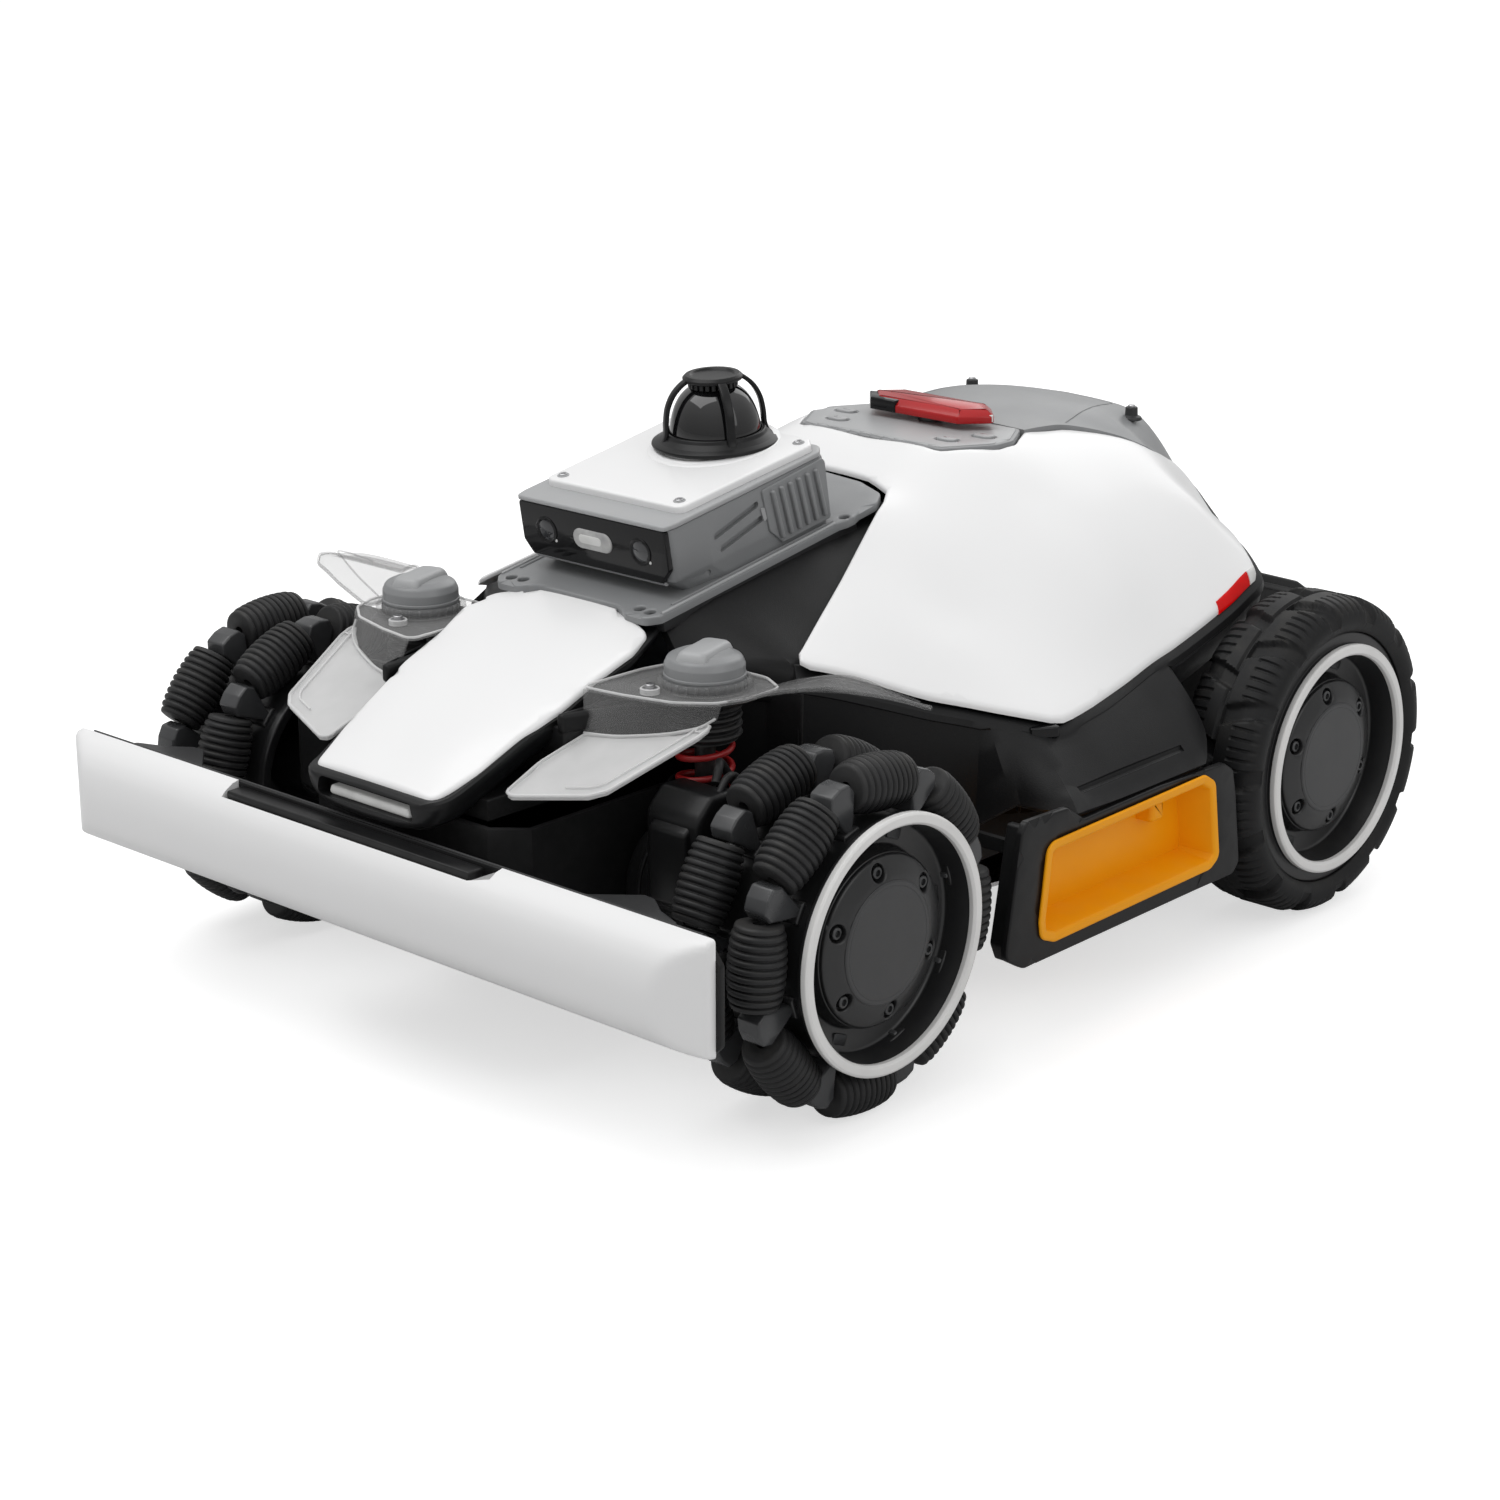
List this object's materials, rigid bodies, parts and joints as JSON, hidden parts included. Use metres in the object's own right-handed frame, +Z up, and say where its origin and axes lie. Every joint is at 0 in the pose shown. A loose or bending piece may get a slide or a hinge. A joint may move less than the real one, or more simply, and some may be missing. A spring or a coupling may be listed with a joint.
{
  "type": "robotic lawn mower",
  "caption": "All-wheel-drive robotic lawn mower with sprung omni-roller front wheels, lugged rear tyres, cage-guarded scanner head, floating bumper and height-adjustable twin blade discs.",
  "frame": {"origin": "on the ground, under the centre of the machine's footprint", "axes": "+Z up, front of the mower towards -Y, the mower's left side towards +X"},
  "size_m": [0.528, 0.6909, 0.3522],
  "materials": {
    "white_shell": "satin white injection moulding",
    "black_body": "fine textured charcoal black",
    "grey_plastic": "satin mid-grey moulding",
    "light_grey": "satin light grey",
    "rubber_black": "matte moulded rubber",
    "tyre_black": "matte tyre rubber",
    "hub_black": "satin dark-grey hub",
    "ring_white": "satin white trim ring",
    "orange": "satin orange moulding",
    "red": "gloss red",
    "black_glass": "gloss black window",
    "lens": "lens glass",
    "clear": "clear polycarbonate",
    "lamp": "frosted lamp lens",
    "steel": "stainless steel",
    "spring_red": "powder-coated red spring",
    "dark_metal": "black painted metal",
    "pcb": "green solder mask",
    "battery": "dark blue-grey battery case"
  },
  "bodies": {
    "chassis": {"chassis_tub": "black_body", "body_frame": "black_body", "nose_frame": "black_body", "nose_cover": "white_shell", "headlight_lens": "lamp", "main_shell": "white_shell", "control_panel": "grey_plastic", "rear_cover": "grey_plastic", "control_board": "pcb", "rain_sensors": "black_body", "tail_lights": "red", "side_guards": "black_body", "guard_inserts": "orange", "vision_base": "grey_plastic", "vision_housing": "grey_plastic", "vision_window": "black_glass", "camera_lenses": "lens", "vision_top_cover": "white_shell", "cover_screws": "steel", "lidar_cage": "black_body", "lidar_dome": "black_glass", "clear_covers": "clear", "rear_motors": "dark_metal", "battery_pack": "battery", "spring_left": "spring_red", "spring_right": "spring_red"},
    "lidar_rotor": {"lidar_rotor": "dark_metal"},
    "stop_button": {"stop_button": "red"},
    "start_key": {"start_key": "light_grey"},
    "mow_key": {"mow_key": "light_grey"},
    "home_key": {"home_key": "light_grey"},
    "power_key": {"power_key": "light_grey"},
    "bumper": {"bumper_cover": "white_shell", "bumper_plate": "black_body"},
    "cutter": {"cutter_carriage": "dark_metal", "blade_motors": "dark_metal"},
    "cap_left": {"suspension_cap_left": "grey_plastic"},
    "knuckle_left": {"knuckle_left": "black_body"},
    "front_wheel_left": {"front_hub_left": "hub_black", "front_rollers_left": "rubber_black", "front_ring_left": "ring_white"},
    "rear_wheel_left": {"rear_rim_left": "hub_black", "rear_tyre_left": "tyre_black", "rear_ring_left": "ring_white"},
    "disc_left": {"disc_left": "dark_metal"},
    "blade_left_1": {"blade_left_1": "steel"},
    "blade_left_2": {"blade_left_2": "steel"},
    "blade_left_3": {"blade_left_3": "steel"},
    "cap_right": {"suspension_cap_right": "grey_plastic"},
    "knuckle_right": {"knuckle_right": "black_body"},
    "front_wheel_right": {"front_hub_right": "hub_black", "front_rollers_right": "rubber_black", "front_ring_right": "ring_white"},
    "rear_wheel_right": {"rear_rim_right": "hub_black", "rear_tyre_right": "tyre_black", "rear_ring_right": "ring_white"},
    "disc_right": {"disc_right": "dark_metal"},
    "blade_right_1": {"blade_right_1": "steel"},
    "blade_right_2": {"blade_right_2": "steel"},
    "blade_right_3": {"blade_right_3": "steel"}
  },
  "joints": [
    {"name": "lidar_spin", "type": "hinge", "parent": "chassis", "child": "lidar_rotor", "pos_m": [0, -0.043, 0.3076], "axis": [0, -0.0698, 0.9976], "continuous": true},
    {"name": "stop_press", "type": "slide", "parent": "chassis", "child": "stop_button", "axis": [0, 0, -1], "range_m": [0, 0.003], "stiffness_N_per_m": 800},
    {"name": "start_press", "type": "slide", "parent": "chassis", "child": "start_key", "axis": [0, 0, -1], "range_m": [0, 0.0012], "stiffness_N_per_m": 400},
    {"name": "mow_press", "type": "slide", "parent": "chassis", "child": "mow_key", "axis": [0, 0, -1], "range_m": [0, 0.0012], "stiffness_N_per_m": 400},
    {"name": "home_press", "type": "slide", "parent": "chassis", "child": "home_key", "axis": [0, 0, -1], "range_m": [0, 0.0012], "stiffness_N_per_m": 400},
    {"name": "power_press", "type": "slide", "parent": "chassis", "child": "power_key", "axis": [0, 0, -1], "range_m": [0, 0.0012], "stiffness_N_per_m": 400},
    {"name": "bumper_push", "type": "slide", "parent": "chassis", "child": "bumper", "axis": [0, 1, 0], "range_m": [0, 0.006], "stiffness_N_per_m": 3000},
    {"name": "cut_height", "type": "slide", "parent": "chassis", "child": "cutter", "axis": [0, 0, 1], "range_m": [-0.03, 0.015]},
    {"name": "cap_turn_left", "type": "hinge", "parent": "chassis", "child": "cap_left", "pos_m": [0.116, -0.177, 0.212], "axis": [0, 0, 1], "range_deg": [0, 90]},
    {"name": "suspension_left", "type": "slide", "parent": "chassis", "child": "knuckle_left", "axis": [0, 0, 1], "range_m": [-0.008, 0.01], "stiffness_N_per_m": 6000, "springref_m": -0.007, "deforming": ["spring_left"]},
    {"name": "front_spin_left", "type": "hinge", "parent": "knuckle_left", "child": "front_wheel_left", "pos_m": [0.22, -0.186, 0.101], "axis": [1, 0, 0], "continuous": true},
    {"name": "rear_spin_left", "type": "hinge", "parent": "chassis", "child": "rear_wheel_left", "pos_m": [0.23, 0.244, 0.101], "axis": [1, 0, 0], "continuous": true},
    {"name": "disc_spin_left", "type": "hinge", "parent": "cutter", "child": "disc_left", "pos_m": [0.098, 0.031, 0.056], "axis": [0, 0, 1], "continuous": true},
    {"name": "blade_pivot_left_1", "type": "hinge", "parent": "disc_left", "child": "blade_left_1", "pos_m": [0.098, 0.097, 0.054], "axis": [0, 0, 1], "continuous": true},
    {"name": "blade_pivot_left_2", "type": "hinge", "parent": "disc_left", "child": "blade_left_2", "pos_m": [0.04084, -0.002, 0.054], "axis": [0, 0, 1], "continuous": true},
    {"name": "blade_pivot_left_3", "type": "hinge", "parent": "disc_left", "child": "blade_left_3", "pos_m": [0.15516, -0.002, 0.054], "axis": [0, 0, 1], "continuous": true},
    {"name": "cap_turn_right", "type": "hinge", "parent": "chassis", "child": "cap_right", "pos_m": [-0.116, -0.177, 0.212], "axis": [0, 0, 1], "range_deg": [-90, 0]},
    {"name": "suspension_right", "type": "slide", "parent": "chassis", "child": "knuckle_right", "axis": [0, 0, 1], "range_m": [-0.008, 0.01], "stiffness_N_per_m": 6000, "springref_m": -0.007, "deforming": ["spring_right"]},
    {"name": "front_spin_right", "type": "hinge", "parent": "knuckle_right", "child": "front_wheel_right", "pos_m": [-0.22, -0.186, 0.101], "axis": [1, 0, 0], "continuous": true},
    {"name": "rear_spin_right", "type": "hinge", "parent": "chassis", "child": "rear_wheel_right", "pos_m": [-0.23, 0.244, 0.101], "axis": [1, 0, 0], "continuous": true},
    {"name": "disc_spin_right", "type": "hinge", "parent": "cutter", "child": "disc_right", "pos_m": [-0.098, 0.031, 0.056], "axis": [0, 0, 1], "continuous": true},
    {"name": "blade_pivot_right_1", "type": "hinge", "parent": "disc_right", "child": "blade_right_1", "pos_m": [-0.04084, 0.064, 0.054], "axis": [0, 0, 1], "continuous": true},
    {"name": "blade_pivot_right_2", "type": "hinge", "parent": "disc_right", "child": "blade_right_2", "pos_m": [-0.15516, 0.064, 0.054], "axis": [0, 0, 1], "continuous": true},
    {"name": "blade_pivot_right_3", "type": "hinge", "parent": "disc_right", "child": "blade_right_3", "pos_m": [-0.098, -0.035, 0.054], "axis": [0, 0, 1], "continuous": true}
  ]
}
